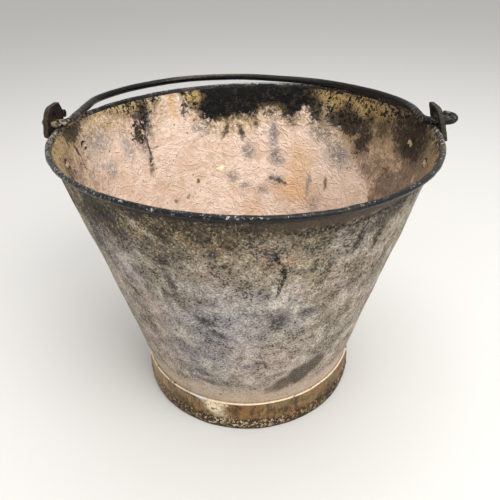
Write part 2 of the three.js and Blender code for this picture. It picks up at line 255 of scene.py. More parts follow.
def outsideFinish():
    look = outsideLook
    skin = Finish('weatheredSheet', {'Metallic': 0.05, 'Specular IOR Level': 0.3}, look, 'taupe')
    turn, height, flat = sheetPlaces(skin, -1)
    ragged = skin.wander(flat, 5, 6)
    broad, patch = skin.grain(60, 3), skin.grain(24, 4, 0.55, seed=1)
    mottle, fine = skin.grain(9, 4, 0.6, seed=2), skin.grain(1.4, 3, 0.78, seed=3)
    flecks, pits = skin.grain(1.6, 3, 0.75, seed=4), skin.grain(1.9, 3, 0.76, seed=5)
    cluster = skin.grain(20, 3, 0.6, seed=6)
    higher = skin.step(height, *look['upHeights'])

    skin.lay(skin.step(broad, 0.42, 0.58), 'pink')
    skin.lay(skin.step(patch + higher * 0.14, 0.53, 0.66) * 0.75, 'olive')
    skin.lay(skin.marks(skin.wander(flat, 22, 40), look['blue']) * 0.7, 'lavender')
    skin.lay(skin.marks(skin.wander(flat, 14, 20), look['golden']) * skin.step(mottle, 0.42, 0.56), 'gold')
    skin.lay(skin.marks(ragged, look['rusty']) * skin.step(mottle, 0.4, 0.6), 'rust')
    skin.lay(skin.step(mottle, 0.5, 0.36) * 0.38, 'brown')
    skin.lay(skin.step(mottle, 0.52, 0.66) * 0.22, 'pale')

    # duller on the right, and low down on the left
    right, left = look['dullTurns']
    lowLeft = skin.step(turn, *left) * skin.step(height, *look['dullHeights'])
    skin.lay((skin.step(turn, *right) * 0.18).most(lowLeft * 0.2), 'brown')

    # the smoother, browner strip above the foot
    lowStrip = skin.step(height + (patch - 0.5) * 26, *look['stripHeights'])
    skin.lay(lowStrip * 0.8, 'foot')
    plain = 1 - lowStrip * 0.65

    # grime under the rim, deeper on the left
    leftward = skin.between(turn, *look['grimeTurns'])
    lifted = height + (patch - 0.5) * 50 + (mottle - 0.5) * 30 + leftward * 20
    under = skin.step(lifted, *look['grimeHeights'])
    skin.lay(under * 0.82, 'grime')

    # dark specks and light flecks, in clusters
    pitted = pits + (cluster - 0.5) * 0.45 + (mottle - 0.5) * -0.25 + higher * 0.02 + under * 0.07
    speck = skin.step(pitted, 0.56, 0.62) * plain
    bright = skin.step(flecks - (cluster - 0.5) * 0.5 + (mottle - 0.5) * 0.3, 0.55, 0.62) * plain
    skin.lay(bright * 0.75, skin.mix(under, look['pale'], look['fleck']))
    skin.lay(speck * 0.85, 'black')
    skin.lay(skin.step(fine, 0.47, 0.41) * plain * 0.65, 'brown')

    # on the right a smooth brown strip lies between the bead and a ragged dark line
    rightward = skin.between(turn, *look['bandTurns'])
    rag = skin.wander(flat, 12, 8)
    ragLine = skin.marks(rag, [((at, 222), (17, 4), 0, 0.7, 0.9) for at in look['ragTurns']])
    band = skin.step(height + (mottle - 0.5) * 8, *look['bandHeights']) * rightward
    skin.lay(ragLine * skin.step(pits, 0.36, 0.5), 'black')
    skin.lay(band * 0.85, 'band')
    # painted shadow: a dark line right under the bead
    skin.lay(skin.step(height, *look['beadShadowHeights']) * 0.8, 'black')

    skin.lay(skin.marks(ragged, look['dark']) * skin.step(pits, 0.34, 0.48), 'black')
    smudge = skin.marks(skin.wander(flat, 9, 6), look['smudge'])
    skin.lay(smudge * (skin.step(fine, 0.56, 0.44) * 0.25 + 0.75), 'smear')
    skin.lay(skin.marks(ragged, look['light']) * skin.step(fine, 0.42, 0.54), 'pale')
    rough = skin.step(mottle, 0.35, 0.65) * 0.16 + speck * 0.1 + 0.58
    bumps = mottle * 1.4 + patch * 1.6 + (fine * 1.1 + flecks * 0.8 - pits * 1.2) * plain
    return skin.paint({'Roughness': rough, 'Normal': skin.relief(bumps, 0.9)})


# Inside, degrees run from the back: left is below 0. Soot hangs down from the rim to a drawn edge,
# and at both sides the coat is worn to a brown skin.
insideLook = {
    'coat': shade(224, 197, 175), 'coatPale': shade(240, 219, 202), 'coatDeep': shade(192, 162, 138),
    'tan': shade(226, 182, 134), 'slate': shade(116, 118, 122), 'ochre': shade(158, 134, 92),
    'gold': shade(196, 168, 106), 'brown': shade(150, 126, 104), 'brownPale': shade(204, 178, 150),
    'brownDark': shade(74, 60, 47), 'soot': shade(15, 15, 15), 'sootAndShadeBrown': shade(54, 48, 40),
    'speck': shade(255, 246, 200), 'umber': shade(104, 80, 58),
    'sootEdge': [(-180, 216), (-140, 222), (-105, 232), (-90, 230), (-75, 231), (-67, 231), (-57, 223),
                 (-50, 215), (-44, 215), (-40, 222), (-36, 240), (-31, 241), (-28.5, 226), (-25, 212),
                 (-21, 206), (-17, 199), (-9, 201), (3, 204), (6, 212), (12, 211), (15, 205), (20, 204),
                 (23, 214), (26, 215), (29, 205), (42, 199), (53, 207), (66, 218), (92, 226), (120, 226),
                 (180, 216)],
    'wornEdge': [(-180, 205), (-150, 190), (-120, 150), (-100, 100), (-88, 100), (-84, 250), (32, 250),
                 (38, 214), (44, 190), (50, 176), (58, 167), (64, 160), (68, 146), (71, 100), (100, 90),
                 (125, 150), (150, 190), (180, 205)],
    'wallHeights': (20, 60), 'bottomHeights': (26, 15), 'leftWornTurns': ((-70, -92), (-160, -125)),
    'wornTurns': ((-60, -50), (-90, -100)), 'rightTurns': ((55, 95), (170, 125)),
    'paleTurns': ((-5, 50), (160, 100)), 'leftShadeTurns': ((-5, -50), (-165, -115)),
    'solidTurns': ((-27, -20), (36, 27)),
    'golden': [((37, 229), (40, 18), -10, 0.6, 1), ((-23.5, 228), (16, 16), 0, 0.6, 1),
               ((54, 225), (50, 18), -20, 0.8, 0.8), ((-62, 229), (70, 16), 0, 0.8, 0.6),
               ((66, 205), (40, 24), -20, 0.8, 0.5), ((-100, 222), (60, 24), 0, 0.8, 0.8),
               ((9, 211), (22, 12), 0, 0.8, 0.6), ((-6, 199), (40, 12), 0, 0.8, 0.6)],
    'tanMarks': [((25, 150), (24, 60), 10, 0.7, 0.8), ((28, 150), (16, 50), 0, 0.8, 0.7),
                 ((23, 132), (44, 24), 0, 0.8, 1), ((-33, 224), (7, 26), 0, 0.7, 0.9),
                 ((2, 105), (26, 14), 0, 0.8, 0.5)],
    'slateMarks': [((11, 188), (11, 30), 0, 0.7, 1), ((13, 165), (13, 20), 20, 0.7, 1),
                   ((-1, 170), (13, 18), 20, 0.6, 0.9), ((19, 204), (12, 18), 0, 0.8, 1),
                   ((-21, 197), (18, 14), 0, 0.7, 0.9), ((-8, 196), (4, 14), 10, 0.6, 0.9),
                   ((33, 196), (26, 18), -20, 0.8, 1), ((44, 180), (30, 26), -20, 0.8, 1),
                   ((13, 140), (18, 10), 0, 0.7, 0.9), ((31, 140), (6, 22), 0, 0.6, 0.8),
                   ((-58, 196), (12, 30), 0, 0.8, 0.7), ((-72, 214), (30, 26), 0, 0.8, 0.8),
                   ((-9, 143), (12, 12), 0, 0.7, 0.8), ((-3, 132), (12, 10), 0, 0.7, 0.7),
                   ((7, 128), (14, 12), 0, 0.7, 0.7), ((-71, 184), (16, 18), 0, 0.8, 0.7),
                   ((36, 120), (14, 22), 0, 0.8, 0.6)],
    # soot clouds; the ones at (-85, 231) and (80, 218) also carry painted shadow under the handle
    'sootAndShadeClouds': [((44, 212), (34, 26), -20, 0.5, 1), ((54, 201), (18, 40), 0, 0.7, 1),
               ((80, 218), (64, 34), 0, 0.7, 1), ((70, 183), (34, 15), -15, 0.7, 0.45),
               ((29, 215), (13, 24), 0, 0.6, 1), ((-85, 231), (36, 18), 15, 0.6, 1),
               ((-50, 206), (17, 34), 0, 0.8, 0.75), ((-28, 216), (9, 16), 0, 0.6, 0.9),
               ((-98, 212), (26, 30), 0, 0.8, 0.7), ((63, 214), (26, 24), 0, 0.8, 0.7),
               ((9, 212), (20, 14), 0, 0.8, 0.7), ((-88, 205), (14, 16), 0, 0.8, 0.6)],
    'streak': [((-46.6, 216), (12, 40), -3, 0.7, 1), ((-48, 186), (2.6, 30), 3, 0.5, 1),
               ((-50, 196), (12, 26), 0, 0.8, 0.8), ((-48.8, 175), (6, 14), -10, 0.6, 1),
               ((-49.6, 168), (4.5, 12), -20, 0.7, 0.7), ((-44.5, 187), (9, 1.8), -8, 0.6, 0.8)],
    'dark': [((-27, 142.7), (3.8, 4.2), 0, 0.4, 1), ((-86.3, 216), (3, 15), 12, 0.5, 1),
             ((-21, 208), (4, 4), 0, 0.5, 0.8), ((-24.5, 206), (4, 4), 0, 0.5, 0.8),
             ((-11, 192), (4.5, 16), -25, 0.6, 0.95), ((-4, 190), (5, 16), 15, 0.6, 0.95),
             ((-33.6, 129), (5, 5), 0, 0.5, 0.7), ((15.5, 139), (9, 5), 0, 0.6, 0.8),
             ((11, 142), (5, 5), 0, 0.6, 0.8), ((3, 198), (6, 8), 0, 0.6, 0.9),
             ((40, 146), (3, 14), 5, 0.6, 0.8), ((18.5, 137), (5, 4), 0, 0.6, 0.8),
             ((-41, 128), (4, 4), 20, 0.6, 0.7)],
    'speckMark': [((-14.4, 154), (6, 4.6), 10, 0.6, 1), ((-16.2, 153), (2.4, 2), 0, 0.6, 0.8)],
}


def insideFinish():
    look = insideLook
    skin = Finish('sootedCoat', {'Specular IOR Level': 0.15}, look, 'coat')
    turn, height, flat = sheetPlaces(skin, 1)
    ragged = skin.wander(flat, 6, 8)
    patch, mottle = skin.grain(18, 4, 0.6, seed=12), skin.grain(7, 5, 0.7, swirl=0.5, seed=13)
    fine, flake = skin.grain(1.9, 3, 0.78, seed=14), skin.grain(3.6, 4, 0.75, swirl=0.4, seed=16)
    stretched = skin.vector('MULTIPLY', skin.place, (1, 1, 1.2))

    # raised wrinkles run where a noise passes its middle
    def wrinkles(size, swirl, seed):
        middle = skin.grain(size, 2, 0.5, swirl=swirl, seed=seed, place=stretched) - 0.5
        return skin.node('ShaderNodeMath', {'operation': 'ABSOLUTE'}, {0: middle})

    far, near = wrinkles(17, 1.2, 15), wrinkles(10, 0.8, 17)
    ridge = skin.step(far, 0.08, 0).most(skin.step(near, 0.09, 0) * skin.step(patch, 0.4, 0.58) * 0.8)

    onWall = skin.step(height, *look['wallHeights'])     # on the bottom disc nothing depends on the turn
    skin.lay(skin.step(patch, 0.4, 0.6), 'coatPale')
    # painted shade: the coat is deeper in the hollows away from the wrinkle ridges
    skin.lay(skin.step(far, 0.08, 0.2) * 0.35, 'coatDeep')
    skin.lay(skin.step(mottle, 0.44, 0.32) * 0.6, 'coatDeep')
    # painted highlight: the wrinkle ridges are paler
    skin.lay(ridge * 0.35, 'coatPale')
    # paler towards the right, and deeper towards the left, where painted shade stands in for less light; both
    # fade out at the front
    skin.lay(skin.between(turn, *look['paleTurns']) * onWall * 0.35, 'coatPale')
    skin.lay(skin.between(turn, *look['leftShadeTurns']) * onWall * 0.3, 'coatDeep')
    skin.lay(skin.marks(skin.wander(flat, 16, 16), look['tanMarks']) * 0.75, 'tan')
    slate = skin.marks(skin.wander(flat, 8, 10), look['slateMarks'])
    skin.lay(slate * skin.step(flake + (fine - 0.5) * 0.5, 0.36, 0.5) * 0.85, 'slate')
    skin.lay(skin.step(flake, 0.6, 0.68) * 0.5, 'ochre')
    skin.lay(skin.step(fine, 0.41, 0.34) * 0.45, 'umber')
    skin.lay(skin.step(skin.cells(9, seed=18), 0.14, 0.07) * skin.step(patch, 0.46, 0.56) * 0.8, 'umber')

    # worn brown skin: to the left of an upright edge, and on the right beyond a slanting one
    wornEdge = skin.line(turn, -180, 180, look['wornEdge'], 0, 260)
    beyond = height - wornEdge + (mottle - 0.5) * 36 + (flake - 0.5) * 34
    worn = skin.step(beyond, -6, 9)
    worn = worn * skin.step(turn, *look['wornTurns'][0]).most(skin.step(turn, *look['wornTurns'][1]))
    rise, fall = look['leftWornTurns']
    leftWorn = skin.step(turn + (mottle - 0.5) * 26 + (flake - 0.5) * 16, *rise) * skin.step(turn, *fall)
    worn = worn.most(leftWorn * onWall * 0.9)
    brown = skin.mix(skin.step(mottle, 0.42, 0.6), look['brown'], look['brownPale'])
    rightward = skin.between(turn, *look['rightTurns'])
    brown = skin.mix(skin.step(patch + rightward * 0.2, 0.5, 0.64) * 0.7, brown, look['brownDark'])
    brown = skin.mix(skin.step(fine + (flake - 0.5) * 0.4, 0.5, 0.4) * 0.65, brown, look['brownDark'])
    brown = skin.mix(skin.step(fine, 0.58, 0.66) * 0.6, brown, look['brownPale'])
    skin.lay(worn * 0.92, brown)

    # soot: solid at the back, speckled at the sides, with an ochre fringe where it thins out. The clouds at
    # (-85, 231) and (80, 218) are partly soot and partly painted shadow under the handle's bend and under the
    # rod's end
    sootEdge = skin.line(turn, -180, 180, look['sootEdge'], 150, 250)
    hang = height - sootEdge + (mottle - 0.5) * 34 + (patch - 0.5) * 12 + (flake - 0.5) * 22
    solid = skin.between(turn, *look['solidTurns'])
    broken = solid.most(skin.step(flake + (fine - 0.5) * 0.6 + (mottle - 0.5) * 0.6, 0.56, 0.47))
    fringe = skin.step(hang, -22, -2) * skin.step(flake + (fine - 0.5) * 0.5, 0.44, 0.56)
    sootAndShadeClouds = skin.marks(skin.wander(flat, 12, 18), look['sootAndShadeClouds'])
    cloudyAndShaded = skin.step(sootAndShadeClouds + (mottle - 0.5) * 1.4 + (flake - 0.5) * 2.2 + (fine - 0.5) * 2.4, 0.38, 0.8)
    # this mask holds soot and the painted shadow under the handle
    soot = (skin.step(hang, -5, 6) * broken).most(cloudyAndShaded * 0.92)
    browner = skin.step(mottle + (fine - 0.5) * 0.5 + skin.step(turn, -10, 25) * 0.05, 0.53, 0.68)
    black = skin.mix(browner, look['soot'], look['sootAndShadeBrown'])
    skin.lay(fringe * 0.75, 'ochre')
    skin.lay(soot, black)
    gold = (1 - cloudyAndShaded * 0.75) * skin.marks(skin.wander(flat, 9, 14), look['golden'])
    gold = gold * skin.step(flake + (fine - 0.5) * 0.8 + (mottle - 0.5) * 0.5, 0.4, 0.54)
    skin.lay(gold * 0.85, skin.mix(skin.step(fine, 0.44, 0.6), look['ochre'], look['gold']))

    streak = skin.marks(skin.wander(flat, 7, 6), look['streak']) * skin.step(flake, 0.3, 0.5)
    skin.lay(streak * 0.9, 'soot')
    skin.lay(skin.marks(ragged, look['dark']) * skin.step(fine, 0.3, 0.46) * 0.9, 'soot')
    skin.lay(skin.marks(skin.wander(flat, 2, 2.5), look['speckMark']), 'speck')
    skin.lay(skin.step(height + (patch - 0.5) * 30, *look['bottomHeights']) * 0.6, 'brown')
    bumps = (ridge * 0.6 + patch * 1.5) * (1 - worn * 0.5) + fine * 0.35 + flake * 0.6 + mottle * 0.5
    rough = 0.9 - soot * 0.18 - worn * 0.12
    return skin.paint({'Roughness': rough, 'Normal': skin.relief(bumps)})


beadLook = {
    'black': shade(13, 13, 14), 'steel': shade(182, 184, 184), 'rust': shade(56, 47, 37),
    'pale': shade(160, 148, 128), 'ash': shade(92, 88, 82),
    'endTurns': ((56, 84), (118, 104)), 'backHighlightTurns': (148, 160), 'backHighlightHeights': (237.4, 238),
    'upperHeights': (236.2, 237.6),
}


def beadFinish():
    look = beadLook
    skin = Finish('blackedBead', {'Specular IOR Level': 0.5}, look, 'black')
    turn, height = sheetPlaces(skin, -1)[:2]
    dull, fine = skin.grain(16, 3, 0.6, seed=21), skin.grain(1.8, 3, 0.78, seed=22)
    chips = skin.grain(3, 4, 0.72, seed=23)
    aside = skin.node('ShaderNodeMath', {'operation': 'ABSOLUTE'}, {0: turn})
    ends = skin.between(aside, *look['endTurns'])
    # painted highlight: a light line along the top of the bead at the back
    backHighlight = skin.step(aside, *look['backHighlightTurns']) * skin.step(height, *look['backHighlightHeights']) * 0.7
    upper = skin.step(height + (fine - 0.5) * 1.6, *look['upperHeights'])
    skin.lay(skin.step(dull, 0.5, 0.62) * 0.7, 'rust')
    skin.lay(upper * skin.step(chips, 0.52, 0.62) * 0.3, 'ash')
    skin.lay(upper * skin.step(fine + (chips - 0.5) * 0.6 + (dull - 0.5) * 0.4, 0.6, 0.66) * 0.8, 'steel')
    skin.lay(ends * skin.step(chips + (fine - 0.5) * 0.6, 0.48, 0.57) * 0.75, 'pale')
    # the steel colour here is a painted highlight; above, on the upper bead, it is worn steel
    skin.lay(backHighlight * skin.step(chips, 0.36, 0.5), 'steel')
    rough = 0.2 + skin.step(dull, 0.4, 0.62) * 0.14 + ends * 0.3 + (fine - 0.5) * 0.4
    bumps = chips * 0.9 + fine * 0.4
    return skin.paint({'Roughness': rough, 'Metallic': 0.5 - ends * 0.3, 'Normal': skin.relief(bumps, 0.8)})


footLook = {
    'gold': shade(146, 115, 70), 'ochre': shade(130, 92, 52), 'beige': shade(168, 141, 104),
    'dark': shade(58, 42, 25), 'black': shade(28, 22, 15), 'cream': shade(240, 224, 192),
    'silver': shade(226, 225, 224), 'olive': shade(108, 92, 60), 'fleck': shade(184, 162, 122),
    'lip': shade(240, 220, 190),
    'hemHeights': (13.5, 10.5), 'lipHeights': (30, 30.4), 'frontTurns': ((-30, -20), (26, 8)),
    'leftTurns': ((-36, -56), (-165, -120)), 'rightTurns': ((-20, 70), (170, 120)),
    'fleckHeights': (1.5, 4), 'floorHeights': (2, 0.6),
    'patch': [((-16, 23.5), (25, 13), -20, 0.5, 1), ((-12, 27.5), (20, 6), 0, 0.5, 0.9),
              ((-13, 16), (18, 8), 0, 0.7, 0.6)],
    'scratch': [((-24, 31), (15, 3.4), 0, 0.5, 1), ((-22, 28.6), (10, 2), 0, 0.5, 0.8)],
    'pale': [((-60, 16), (56, 44), 0, 0.8, 1), ((-38, 24), (44, 10), 0, 0.7, 0.7)],
    'dirt': [((-34, 14), (26, 14), -20, 0.7, 0.8), ((20, 17), (16, 9), 0, 0.7, 0.9),
             ((28, 22), (26, 5), 0, 0.7, 0.6), ((50, 14), (40, 15), 0, 0.7, 0.9),
             ((62, 22), (26, 8), 0, 0.7, 0.6), ((-4, 22), (5, 18), 0, 0.8, 0.8),
             ((4, 20), (4, 14), 0, 0.8, 0.6), ((12, 20), (5, 14), 0, 0.8, 0.6)],
}


def footFinish():
    look = footLook
    skin = Finish('stainedBrass', {'Specular IOR Level': 0.4}, look, 'gold')
    turn, height, flat = sheetPlaces(skin, -1)
    ragged = skin.wander(flat, 6, 7)
    broad, mottle = skin.grain(26, 3, 0.6, seed=31), skin.grain(6, 5, 0.7, seed=32)
    fine, chips = skin.grain(1.7, 3, 0.78, seed=33), skin.grain(2.8, 3, 0.75, seed=34)
    streaks = skin.grain(4, 3, 0.65, seed=35, place=skin.vector('MULTIPLY', skin.place, (1, 1, 0.3)))
    rise, fall = look['leftTurns']
    leftward = skin.step(turn + (mottle - 0.5) * 20, *rise) * skin.step(turn, *fall)
    rightward = skin.between(turn, *look['rightTurns'])
    skin.lay(skin.step(broad + rightward * 0.08, 0.48, 0.64), 'ochre')
    skin.lay(skin.marks(skin.wander(flat, 14, 16), look['pale']), 'beige')
    skin.lay(skin.step(broad, 0.5, 0.38) * 0.5, 'olive')
    skin.lay(skin.step(streaks, 0.5, 0.4) * (0.75 - leftward * 0.4), 'dark')
    skin.lay(skin.step(mottle, 0.48, 0.36) * 0.5, 'dark')
    skin.lay(skin.step(fine, 0.54, 0.62) * 0.5, 'beige')
    skin.lay(skin.marks(ragged, look['dirt']) * skin.step(chips, 0.38, 0.52), 'dark')

    # the hem: dark and lumpy, with pale flecks that are thickest at the front
    hem = skin.step(height + (mottle - 0.5) * 12 - leftward * 3, *look['hemHeights']) * (1 - leftward * 0.55)
    skin.lay(hem * skin.step(chips, 0.56, 0.46) * 0.9, 'black')
    skin.lay(hem * 0.35, 'dark')
    front = skin.between(turn, *look['frontTurns'])
    fleck = skin.step(chips + (fine - 0.5) * 0.5 + front * 0.03, 0.56, 0.62)
    fleck = fleck * skin.step(height, *look['fleckHeights'])
    skin.lay(hem * fleck * 0.6, skin.mix(front * skin.step(mottle, 0.44, 0.54), look['fleck'], look['cream']))
    skin.lay(skin.step(height, *look['floorHeights']) * (1 - leftward * 0.5), 'black')
    patch = skin.marks(ragged, look['patch']) * skin.step(chips, 0.36, 0.5)
    skin.lay(patch * 0.9, 'cream')
    lip = skin.step(height + (fine - 0.5) * 0.8, *look['lipHeights'])
    lip = lip * skin.step(mottle + (fine - 0.5) * 0.4, 0.32, 0.46)
    skin.lay(lip * 0.9, 'lip')
    scratch = skin.marks(skin.wander(flat, 5, 3), look['scratch'])
    skin.lay(scratch * 0.9, 'silver')
    rough = 0.48 + hem * 0.3 + (mottle - 0.5) * 0.4 - lip * 0.1
    metal = 0.3 - hem * 0.25 - patch * 0.2
    bumps = mottle * 1.2 + fine * 0.4 + hem * chips * 2.4
    return skin.paint({'Roughness': rough, 'Metallic': metal, 'Normal': skin.relief(bumps, 0.9)})


# rusty or grey iron: painted shade on its inner side, and paler where it faces up or to the front
def ironFinish(name, look):
    skin = Finish(name, {'Specular IOR Level': 0.25, 'Metallic': look['metal']}, look, 'dark')
    mottle, fine = skin.grain(6, 5, 0.68, seed=look['seed']), skin.grain(1.6, 4, 0.7, seed=look['seed'] + 1)
    chips = skin.grain(3, 4, 0.68, seed=look['seed'] + 2)
    across, along, up = skin.parts(skin.node('ShaderNodeTexCoord', {}, {}, 'Normal'))
    facingUpOrFront = skin.step(up.most(along * -1) + (mottle - 0.5) * 0.8, 0.45, 0.95)
    shadedSide = skin.step(across * look['shadedSide'] + (mottle - 0.5) * 0.4, 0.3, 0.8)
    skin.lay(skin.step(mottle, 0.4, 0.6), 'body')
    skin.lay(skin.step(chips, 0.54, 0.66) * 0.7, 'rust')
    # painted shade: the side facing the bucket is darkened
    skin.lay(shadedSide * look['shadeReach'], 'dark')
    skin.lay(facingUpOrFront * look['upFrontReach'], 'rub')
    skin.lay(skin.step(fine, 0.5, 0.34) * 0.8, 'pit')
    bumps = mottle * 0.7 + chips * 0.6 + fine * 0.4
    return skin.paint({'Roughness': 0.66 + (mottle - 0.5) * 0.5, 'Normal': skin.relief(bumps)})


rustyIron = ironFinish('rustyIron', {
    'seed': 41, 'metal': 0.2, 'shadedSide': 1, 'shadeReach': 0.2, 'upFrontReach': 0.4,
    'dark': shade(14, 10, 7), 'body': shade(34, 25, 17), 'rust': shade(68, 45, 26), 'rub': shade(88, 74, 57),
    'pit': shade(9, 7, 5)})
greyIron = ironFinish('greyIron', {
    'seed': 44, 'metal': 0.2, 'shadedSide': -1, 'shadeReach': 0.95, 'upFrontReach': 0.45,
    'dark': shade(12, 11, 9), 'body': shade(36, 31, 27), 'rust': shade(104, 78, 56), 'rub': shade(86, 78, 68),
    'pit': shade(14, 12, 10)})


rivetLook = {
    'dark': shade(30, 22, 15), 'rust': shade(62, 45, 30), 'coat': shade(150, 130, 108),
    'coatPale': shade(206, 184, 156), 'middle': shade(40, 33, 26),
    'ringReach': (6.2, 5.2), 'middleReach': (2.6, 1.9),
}


# rusty outside; inside, a pale ring of the coat round its dark middle
def rivetFinish(name, innerEnd):
    look = rivetLook
    skin = Finish(name, {'Specular IOR Level': 0.25, 'Metallic': 0.15}, look, 'dark')
    mottle, fine = skin.grain(4, 4, 0.68, seed=47), skin.grain(1.4, 4, 0.7, seed=48)
    skin.lay(skin.step(mottle, 0.4, 0.6), 'rust')
    away = skin.vector('LENGTH', skin.vector('SUBTRACT', skin.place, innerEnd))
    ring = skin.step(away + (fine - 0.5) * 1.4, *look['ringReach'])
    skin.lay(ring, skin.mix(skin.step(fine, 0.4, 0.6), look['coat'], look['coatPale']))
    skin.lay(skin.step(away + (fine - 0.5) * 1.2, *look['middleReach']), 'middle')
    bumps = mottle * 0.5 + fine * 0.3
    return skin.paint({'Roughness': 0.7 + (mottle - 0.5) * 0.4, 'Normal': skin.relief(bumps, 0.9)})


undersideLook = {
    'brown': shade(92, 74, 56), 'rust': shade(118, 84, 58), 'dark': shade(50, 38, 28),
    'pale': shade(146, 128, 108),
}


def undersideFinish():
    skin = Finish('rustedUnderside', {'Specular IOR Level': 0.2}, undersideLook, 'brown')
    broad, mottle = skin.grain(24, 4, 0.6, seed=51), skin.grain(5, 5, 0.7, seed=52)
    skin.lay(skin.step(broad, 0.4, 0.62), 'rust')
    skin.lay(skin.step(mottle, 0.5, 0.36) * 0.8, 'dark')
    skin.lay(skin.step(mottle, 0.58, 0.7) * 0.6, 'pale')
    return skin.paint({'Roughness': 0.85 + (mottle - 0.5) * 0.3, 'Normal': skin.relief(mottle * 1.2, 0.8)})


wireLook = {'black': shade(40, 36, 32), 'rust': shade(84, 66, 50)}


def wireFinish():
    skin = Finish('blackWire', {'Metallic': 0.6, 'Specular IOR Level': 0.4}, wireLook, 'black')
    mottle = skin.grain(3, 4, 0.7, seed=61)
    skin.lay(skin.step(mottle, 0.42, 0.6), 'rust')
    return skin.paint({'Roughness': 0.55 + (mottle - 0.5) * 0.5, 'Normal': skin.relief(mottle * 0.5, 0.6)})


rodLook = {
    'black': shade(4, 4, 5), 'blackPale': shade(13, 12, 11), 'dust': shade(84, 78, 68),
    'dirt': shade(112, 92, 62), 'wornLeft': shade(170, 152, 126), 'wornRight': shade(126, 114, 98),
    'leftBend': ((-136, -142), (30, 8)), 'hooked': ((34, 22), (0, 60)), 'middle': ((-90, -60), (10, -10)),
}


# black, with dirt along its top and its paint worn off at the hooks
def rodFinish():
    look = rodLook
    skin = Finish('blackRod', {'Specular IOR Level': 0.28, 'Metallic': 0.1}, look, 'black')
    x, y = skin.parts(skin.place)[:2]
    up = skin.parts(skin.node('ShaderNodeTexCoord', {}, {}, 'Normal'))[2]
    mottle, fine = skin.grain(12, 4, 0.65, seed=71), skin.grain(1.6, 4, 0.7, seed=72)
    chips = skin.grain(4, 4, 0.68, seed=73)
    across, along = look['leftBend']
    leftBend = skin.step(x + (mottle - 0.5) * 20, *across) * skin.step(y, *along)
    along, across = look['hooked']
    hooked = skin.step(y + (mottle - 0.5) * 10, *along) * skin.step(x, *across)
    topDirt = skin.step(up + (chips - 0.5) * 1.1, 0.5, 0.95)
    middle = skin.between(x + (mottle - 0.5) * 40, *look['middle'])
    skin.lay(skin.step(mottle, 0.45, 0.62), 'blackPale')
    skin.lay(skin.step(chips, 0.6, 0.7) * topDirt * 0.6, 'dust')
    skin.lay(middle * topDirt * 0.5, 'dirt')
    skin.lay(leftBend * skin.step(chips, 0.46, 0.58) * 0.85, 'wornLeft')
    skin.lay(hooked * skin.step(chips, 0.52, 0.62) * 0.8, 'wornRight')
    rough = 0.27 + leftBend.most(hooked) * 0.3 + (mottle - 0.5) * 0.2
    bumps = mottle + fine * 0.15 + chips * 0.2
    return skin.paint({'Roughness': rough, 'Normal': skin.relief(bumps, 0.5)})


outside, inside, bead = outsideFinish(), insideFinish(), beadFinish()
brass, underside, wire, rod = footFinish(), undersideFinish(), wireFinish(), rodFinish()
print('finishes made')


# every new mesh becomes a piece here: the body it rides on and the node it replaces
def addMesh(name, mesh, replaced, body):
    mesh.polygons.foreach_set('use_smooth', [True] * len(mesh.polygons))
    piece = bpy.data.objects.new(name, mesh)
    bpy.context.collection.objects.link(piece)
    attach(piece, body)
    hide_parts(replaced)
    print(name, len(mesh.polygons), 'faces')


def addPiece(name, spots, faces, finishes, finishOf, replaced, body):
    mesh = bpy.data.meshes.new(name)
    mesh.from_pydata(toFrame(spots).tolist(), [], faces)
    for finish in finishes:
        mesh.materials.append(finish)
    mesh.polygons.foreach_set('material_index', finishOf)
    tidyMesh = bmesh.new()
    tidyMesh.from_mesh(mesh)
    bmesh.ops.recalc_face_normals(tidyMesh, faces=tidyMesh.faces)
    tidyMesh.to_mesh(mesh)
    tidyMesh.free()
    addMesh(name, mesh, replaced, body)


def roll(amount, size, spots, seed):         # soft unevenness at places, in millimetres
    waves = [noise.noise((x / size + seed * 7.3, y / size - seed * 3.1, z / size)) for x, y, z in spots]
    return np.array(waves) * amount


# years of knocks: the rim is oval, lobed, pushed aside and out of level
knocks = {'foot': 31, 'reach': 205.2, 'oval': (1.3, 119), 'lobes': (1.4, 50.5), 'tilt': 47.8, 'aside': 1.6}


def knocked(spots, azimuth):
    s = knocks
    share = np.maximum(0, (spots[:, 2] - s['foot']) / s['reach'])
    swell = s['oval'][0] * np.cos(2 * (azimuth - math.radians(s['oval'][1])))
    swell += s['lobes'][0] * np.cos(3 * (azimuth - math.radians(s['lobes'][1])))
    rise = np.cos(2 * (azimuth - math.radians(s['tilt'])))
    pushed = [share * (swell * np.cos(azimuth) + s['aside']), share * swell * np.sin(azimuth), share * rise]
    return spots + np.stack(pushed, 1)


wall = {
    'sheet': 0.8, 'footRadius': 98.3, 'footHeight': 31, 'rimRadius': 150, 'rimHeight': 236.2, 'bottom': 9,
    'beadRadius': 1.95, 'curlTurn': 285, 'lean': math.radians(13.83), 'columns': 320, 'rows': 104,
    'curlSteps': 8, 'beadSteps': 22, 'lowRows': (16, 24), 'seamTurn': 137, 'seamWidth': 9, 'seamProud': 0.9,
    'seamEnds': (33.5, 231.7), 'seamBackProud': 0.35, 'seamEdge': 0.35, 'seamBorder': 0.9, 'seamRadius': 98,
    'seamRoom': 1.6, 'hollow': 0.7, 'dentDepth': 3.2, 'dentTurn': -44, 'dentWide': 24,
    'dentTop': (234, 224), 'dentRise': (165, 212), 'dentFoot': (60, 130), 'dentShares': (0.28, 0.72),
    'grooveHeight': 227, 'grooveWide': 6, 'grooveDepth': 0.7, 'grooveTop': (235, 231), 'unevenness': 0.9,
    'unevenSizes': (46, 17), 'smallShare': 0.4, 'unevenRadius': 130, 'calmFoot': (31, 60),
    'calmTop': (234, 222), 'beadLumps': ((0.34, 13), (0.16, 5)),
}


def smoothStep(value, low, high):
    share = np.clip((value - low) / (high - low), 0, 1)
    return share * share * (3 - 2 * share)


